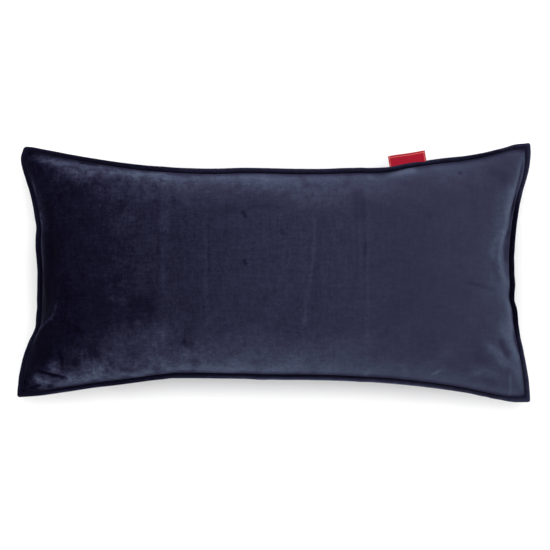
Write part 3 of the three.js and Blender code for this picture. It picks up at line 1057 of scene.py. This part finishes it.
def labelMesh(node, s):
    points = np.array([v.co for v in node.data.vertices])
    acrossWay = np.array([math.cos(s["turn"]), math.sin(s["turn"])])
    outWay = np.array([-acrossWay[1], acrossWay[0]])
    across, out = points[:, :2] @ acrossWay, points[:, :2] @ outWay
    width, reach = np.ptp(across), np.ptp(out)
    middle, radius = points[:, 2].mean(), (np.ptp(points[:, 2]) - s["layer"]) / 2
    straight = np.linspace(0, reach - radius, s["along"] + 1)
    bend = np.linspace(-math.pi / 2, math.pi / 2, s["foldFaces"] + 1)[1:-1]
    outs = np.concatenate([straight, straight[-1] + radius * np.cos(bend), straight[::-1]])
    rises = np.concatenate(
        [np.full(len(straight), -radius), radius * np.sin(bend), np.full(len(straight), radius)]
    )
    cutAlong = wayAlong(np.column_stack([outs, rises]))
    cutAcross = np.linspace(0, width, s["across"] + 1)
    a, o = np.meshgrid(cutAcross, outs, indexing="ij")
    free = np.clip((o - reach * s["curlFrom"]) / reach, 0, 1)
    turn, start, lift = s["curlWave"]
    curl = s["curl"] * free**1.5 * (np.sin(a / width * turn + start) + lift)
    size, turn = s["edgeWave"]
    o = o + size * free * np.sin(a / width * turn)
    plan = (across.min() + a)[..., None] * acrossWay + (out.min() + o)[..., None] * outWay + s["shift"]
    height = middle + rises[None, :] + curl
    index = np.arange(a.size).reshape(a.shape)
    corners = np.dstack([plan, height]).reshape(-1, 3)
    mesh = meshOf("label", corners.tolist(), [], quadsOf(index)[:, ::-1].tolist())
    cut = np.dstack(np.meshgrid(cutAcross, cutAlong, indexing="ij")).reshape(-1, 2)
    order = np.array([loop.vertex_index for loop in mesh.loops])
    mesh.uv_layers.new(name="cut").data.foreach_set("uv", cut[order].ravel())
    return mesh, (width, cutAlong[-1])


def makeLabel(s):
    mesh, flat = labelMesh(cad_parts["edge_label"], s)
    thin = placed("label_sheet", mesh)
    layer = thin.modifiers.new("layer", "SOLIDIFY")
    layer.thickness = s["layer"]
    layer.offset = 0
    label = placed("edge_ribbon", smoothed(settled(thin)))
    label.data.materials.append(ribbonWeave(s, flat))
    return label, flat


def ribbonWeave(s, flat):
    shader = Shader("woven_ribbon")
    cut = shader.node("UVMap", {"uv_map": "cut"}, {})
    u, v, _ = parts(shader, cut)
    ribs = (v * (2 * math.pi / s["ribPitch"])).sine() * 0.5 + 0.5
    threads = (u * (2 * math.pi / s["ribPitch"] * s["threadsPerRib"])).sine() * 0.5 + 0.5
    uneven = shader.noise(cut, 900.0, 3.0, 0.7)

    def line(value, place):  # 1 on a thin line, 0 elsewhere
        core, rim = s["lineHalf"]
        return value.eased(place - rim, place - core) * (1 - value.eased(place + core, place + rim))

    width, fold = flat[0], flat[1] / 2
    lines = line(u, s["borderInset"]) + line(u, width - s["borderInset"])
    lines = lines + line(v, fold - s["borderFromFold"]) + line(v, fold + s["borderFromFold"])
    start, end = s["selvedge"]
    inside = u.eased(start, end) * (1 - u.eased(width - end, width - start))
    border = (lines * inside).kept() * (0.5 + uneven * 0.4)
    shade = 0.8 + uneven * 0.3 + ribs * threads * 0.12
    body = shader.scaled(s["body"], shade)
    return shader.finish(
        Base_Color=shader.mix(border, body, s["border"]),
        Roughness=0.5 + uneven * 0.2,
        Specular_IOR_Level=0.08,
        Normal=shader.bump(0.35, 0.0002, ribs * 0.7 + threads * 0.5),
    )


# Topstitch: thread laid in the flange's groove, above and below, by Geometry Nodes

threadSet = {
    "share": 0.13,  # of the way from the seam to the outer edge
    "sizes": {"Pitch": 0.0033, "Stitch Length": 0.0027, "Thread Radius": 0.0004},
    "sizeRange": ((0.85, 0.85, 0.85), (1.05, 1.15, 1.15)),  # along, across and up
    "seed": 8,
    "color": colorOf(17, 16, 30),
}


def stitchTree(s):
    tree = bpy.data.node_groups.new("topstitch", "GeometryNodeTree")
    kinds = [("Route", "Geometry"), *((name, "Float") for name in s["sizes"])]
    kinds += [("Seed", "Int"), ("Thread", "Material")]
    for name, kind in kinds:
        tree.interface.new_socket(name, in_out="INPUT", socket_type="NodeSocket" + kind)
    tree.interface.new_socket("Stitches", in_out="OUTPUT", socket_type="NodeSocketGeometry")
    given = tree.nodes.new("NodeGroupInput").outputs

    def add(kind, settings, values, output=0):
        made = tree.nodes.new(kind)
        for key, value in settings.items():
            setattr(made, key, value)
        for key, value in values.items():
            if isinstance(value, bpy.types.NodeSocket):
                tree.links.new(value, made.inputs[key])
            else:
                made.inputs[key].default_value = value
        return made.outputs[output]

    line = add("GeometryNodeMeshToCurve", {}, {"Mesh": given["Route"]})
    places = add(
        "GeometryNodeResampleCurve", {"mode": "LENGTH"}, {"Curve": line, "Length": given["Pitch"]}
    )
    ball = add("GeometryNodeMeshUVSphere", {}, {"Segments": 6, "Rings": 4, "Radius": 1.0})
    half = add("ShaderNodeMath", {"operation": "MULTIPLY"}, {0: given["Stitch Length"], 1: 0.5})
    radius = given["Thread Radius"]
    size = add("ShaderNodeCombineXYZ", {}, {"X": half, "Y": radius, "Z": radius})
    stitch = add("GeometryNodeTransform", {}, {"Geometry": ball, "Scale": size})
    tangent = add("GeometryNodeInputTangent", {}, {})
    turned = add("FunctionNodeAlignRotationToVector", {"axis": "X"}, {"Vector": tangent})
    smallest, largest = s["sizeRange"]
    chance = add(
        "FunctionNodeRandomValue",
        {"data_type": "FLOAT_VECTOR"},
        {0: smallest, 1: largest, "Seed": given["Seed"]},
    )
    copies = add(
        "GeometryNodeInstanceOnPoints",
        {},
        {"Points": places, "Instance": stitch, "Rotation": turned, "Scale": chance},
    )
    real = add("GeometryNodeRealizeInstances", {}, {"Geometry": copies})
    done = add("GeometryNodeSetMaterial", {}, {"Geometry": real, "Material": given["Thread"]})
    tree.links.new(done, tree.nodes.new("NodeGroupOutput").inputs["Stitches"])
    return tree


def makeStitches(s):
    route = flangeRoute(flangeSet)
    half = np.interp(s["share"], *zip(*flangeSet["section"]))
    lines = [acrossFlange(route, s["share"], half * way) for way in (1, -1)]
    count = len(lines[0])
    edges = [(k + n * count, (k + 1) % count + n * count) for n in (0, 1) for k in range(count)]
    holder = placed("stitch_route", meshOf("stitch_route", np.vstack(lines).tolist(), edges, []))
    tree = stitchTree(s)
    sewing = holder.modifiers.new("sewing", "NODES")
    sewing.node_group = tree
    values = {**s["sizes"], "Seed": s["seed"], "Thread": sewingThread(s)}
    for socket in tree.interface.items_tree:
        if socket.in_out == "INPUT" and socket.name in values:
            sewing[socket.identifier] = values[socket.name]
    return placed("topstitching", smoothed(settled(holder)))


def sewingThread(s):
    shader = Shader("sewing_thread")
    twist = shader.noise(shader.place(), 1600.0, 2.0, 0.6)
    color = shader.scaled(s["color"], 0.6 + twist * 0.8)
    bump = shader.bump(0.3, 0.0002, twist)
    return shader.finish(Base_Color=color, Roughness=0.6, Specular_IOR_Level=0.1, Normal=bump)


addCamera(cameraSet)
addLights(lightSet)
makeTable(lightSet)
print("camera, lamps and table placed")

cushion = makeCushion(cushionSet)
cushion.data.materials.append(faceVelvet(velvetSet))
cushion.data.materials.append(flangeVelvet(velvetSet, flangeSides, flangeLook))
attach(cushion, "root")
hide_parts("cushion")
print("cushion made")

label, labelCut = makeLabel(labelSet)
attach(label, "root")
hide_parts("edge_label")
stitches = makeStitches(threadSet)
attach(stitches, "root")
print("label and topstitching made, the label cut", [round(v, 4) for v in labelCut])
